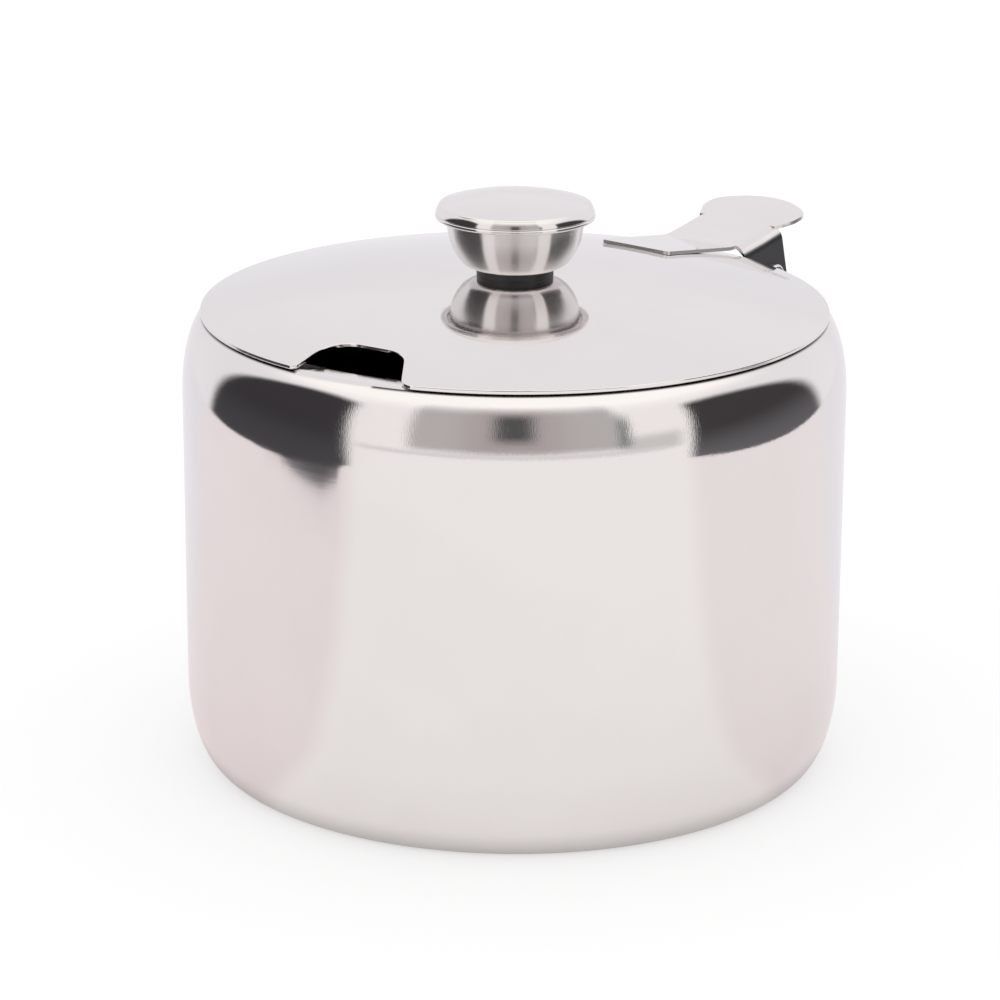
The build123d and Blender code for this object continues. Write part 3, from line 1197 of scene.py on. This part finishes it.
DIM_FRONT = (
    fades(Measure.OFF, 33.0, 38.0),
    fades(Measure.RISE, 26.0, 48.0),
    grows(Measure.RISE, -5.0, 0.0),
)
ROOM_ZONES = (
    Zone("bright front", (1.03, 0.99, 0.975), (fades(Measure.OFF, 60.0, 90.0),)),
    Zone("overhead", (1.22, 1.19, 1.15), (grows(Measure.RISE, 24.0, 46.0), fades(Measure.OFF, 95.0, 125.0))),
    Zone("dim front", (0.54, 0.51, 0.505), DIM_FRONT),
    Zone("dim middle", (0.42, 0.36, 0.36), (*DIM_FRONT, fades(Measure.OFF, 6.0, 24.0, start=0.6))),
    Zone(
        "low right",
        (0.70, 0.67, 0.66),
        (
            grows(Measure.TURN, 34.0, 38.0),
            fades(Measure.TURN, 55.0, 60.0),
            grows(Measure.RISE, -6.0, -4.0),
            fades(Measure.RISE, 0.0, 7.0),
        ),
    ),
    Zone("low back", (0.885, 0.87, 0.90), (grows(Measure.OFF, 135.0, 165.0), fades(Measure.RISE, 8.0, 22.0))),
    Zone(
        "dark spot",
        (0.10, 0.10, 0.10),
        (fades(Measure.OFF, 3.0, 10.0), grows(Measure.RISE, 0.0, 9.0), fades(Measure.RISE, 22.0, 36.0)),
    ),
    Zone(
        "dark stand",
        (0.28, 0.29, 0.28),
        (
            grows(Measure.TURN, 33.5, 36.0),
            fades(Measure.TURN, 38.0, 40.5),
            grows(Measure.RISE, -4.0, 0.0),
            fades(Measure.RISE, 12.0, 30.0),
        ),
    ),
    Zone(
        "table edge",
        (0.80, 0.78, 0.78),
        (grows(Measure.RISE, -6.5, -5.0), fades(Measure.RISE, -4.5, -3.0), fades(Measure.OFF, 50.0, 58.0)),
    ),
)
# Painted shade on the paper's glow as mirrors see it: darker to the left, the right and behind, and a painted
# shadow round the foot.
PAPER_ZONES = (
    Zone("left", (0.441, 0.36, 0.367), (fades(Measure.TURN, -56.0, -47.0),)),
    Zone("right", (0.44, 0.38, 0.385), (grows(Measure.TURN, 52.0, 62.0),)),
    Zone("behind", (0.38, 0.36, 0.39), (grows(Measure.OFF, 112.0, 130.0),)),
    Zone("painted shadow under the foot", (0.0, 0.0, 0.0), (fades(Measure.REACH, 0.041, 0.047, start=0.45),)),
)


@dataclass
class Studio:
    """White paper sweep, soft light all round and a dim room beyond the paper's sides. Lengths in metres."""

    view: Viewpoint
    edge: tuple[Point, ...] = (
        (-0.42, 0.253),
        (-0.42, -0.235),
        (-0.20, -0.180),
        (-0.134, -0.183),
        (-0.114, -0.166),
        (-0.094, -0.169),
        (-0.070, -0.185),
        (-0.040, -0.204),
        (0.015, -0.224),
        (0.105, -0.235),
        (1.2, -0.25),
        (1.2, 0.253),
    )
    paper_drop: float = 0.02 * MM
    paper_white: Colour = (0.52, 0.52, 0.52)
    # painted glow of the paper as mirrors see it, under its painted shade
    mirrored_paper: Colour = (0.504, 0.473, 0.457)
    ambient: Colour = (1.0, 1.0, 1.0)
    backdrop: Colour = (1.0, 1.0, 1.0)
    room: Colour = (0.95, 0.925, 0.94)
    flags: tuple[Flag, ...] = (
        Flag(
            side=-1.0,
            front_edge=57.5,
            front_soft=2.5,
            peak=75.0,
            top=31.0,
            fall=0.0166,
            tint=(0.044, 0.040, 0.045),
            low_tint=(0.066, 0.063, 0.070),
        ),
        Flag(
            side=1.0,
            front_edge=62.0,
            front_soft=2.0,
            peak=72.0,
            top=25.0,
            fall=0.0115,
            tint=(0.054, 0.049, 0.051),
            low_tint=(0.140, 0.136, 0.145),
        ),
    )

    def directions(self, net: Net, where: Socket) -> dict[Measure, Socket]:
        """Builds the measures of direction that the room and the paper share.

        Args:
            net: Nodes of the room or of the paper.
            where: Direction in the room, or place on the paper.

        Returns:
            Socket of each measure.
        """
        side, ahead = net.dot(where, self.view.right), net.dot(where, self.view.towards)
        turn = net.math("DEGREES", net.math("ARCTAN2", side, ahead))
        return {Measure.TURN: turn, Measure.OFF: net.math("ABSOLUTE", turn)}

    def paper(self) -> None:
        """Makes the paper that the pot stands on; its edge is given as depth behind the pot and side."""
        corners = [self.view.right * side - self.view.towards * depth for depth, side in self.edge]
        mesh = bpy.data.meshes.new("paper")
        mesh.from_pydata([c - UP * self.paper_drop for c in corners], [], [tuple(range(len(corners)))])
        floor = bpy.data.objects.new("paper", mesh)
        bpy.context.scene.collection.objects.link(floor)
        mesh.materials.append(self.paper_finish())

    def paper_finish(self) -> bpy.types.Material:
        """Makes the paper's material: pale, with a painted glow, even white for the camera and with painted
        shade for mirrors.

        Returns:
            The material.
        """
        material = bpy.data.materials.new("white_paper")
        material.use_nodes = True
        material.node_tree.nodes.clear()
        net = Net(material.node_tree)
        where = net.node("ShaderNodeTexCoord").outputs["Object"]
        measures = {**self.directions(net, where), Measure.REACH: net.length(where)}
        shade = self.mirrored_paper
        for zone in PAPER_ZONES:
            shade = zone.lay(net, shade, measures)
        path = net.node("ShaderNodeLightPath")
        seen = net.mix(path.outputs["Is Camera Ray"], shade, self.paper_white)
        shown = net.math("MAXIMUM", path.outputs["Is Camera Ray"], path.outputs["Is Glossy Ray"])
        shown = net.math("MAXIMUM", shown, path.outputs["Is Transmission Ray"])
        diffuse = net.node("ShaderNodeBsdfDiffuse")
        net.link(rgba(self.paper_white), diffuse.inputs["Color"])
        glow = net.node("ShaderNodeEmission")
        net.feed(glow, {"Color": seen, "Strength": shown})
        both = net.node("ShaderNodeAddShader")
        net.link(diffuse.outputs[0], both.inputs[0])
        net.link(glow.outputs[0], both.inputs[1])
        net.link(both.outputs[0], net.node("ShaderNodeOutputMaterial").inputs["Surface"])
        return material

    def world(self) -> None:
        """Makes the light from all round, and the room that polished metal mirrors."""
        world = bpy.data.worlds.new("studio")
        bpy.context.scene.world = world
        world.use_nodes = True
        world.node_tree.nodes.clear()
        net = Net(world.node_tree)
        where = net.node("ShaderNodeTexCoord").outputs["Generated"]
        rise = net.math("DEGREES", net.math("ARCSINE", net.dot(where, UP)))
        measures = {**self.directions(net, where), Measure.RISE: rise}
        colour = self.room
        for part in (*ROOM_ZONES, *self.flags):
            colour = part.lay(net, colour, measures)
        path = net.node("ShaderNodeLightPath")
        mirrored = net.math("MAXIMUM", path.outputs["Is Glossy Ray"], path.outputs["Is Transmission Ray"])
        seen = net.mix(mirrored, self.ambient, colour)
        seen = net.mix(path.outputs["Is Camera Ray"], seen, self.backdrop)
        back = net.node("ShaderNodeBackground")
        net.link(seen, back.inputs["Color"])
        net.link(back.outputs[0], net.node("ShaderNodeOutputWorld").inputs["Surface"])

    def build(self) -> None:
        """Makes the paper, the room and the camera."""
        self.view.build()
        self.paper()
        self.world()
        bpy.context.scene.view_settings.view_transform = "Standard"


def main() -> None:
    """Builds the scene in order: frame, finishes, sub-assemblies, studio."""
    logging.basicConfig(level=logging.INFO, format="%(message)s")
    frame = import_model()
    effects = Effects()
    wall, dome, lever, cap, bowl, plain, bright, ring = (finish.build(effects) for finish in FINISHES)
    lathe = Lathe()
    PotBody().build(lathe, wall)
    Lid().build(frame, dome, lever)
    Hinge().build(frame, plain, bright)
    Knob().build(frame, lathe, cap, bowl, ring, plain)
    Studio(Viewpoint()).build()


if __name__ == "__main__":
    main()
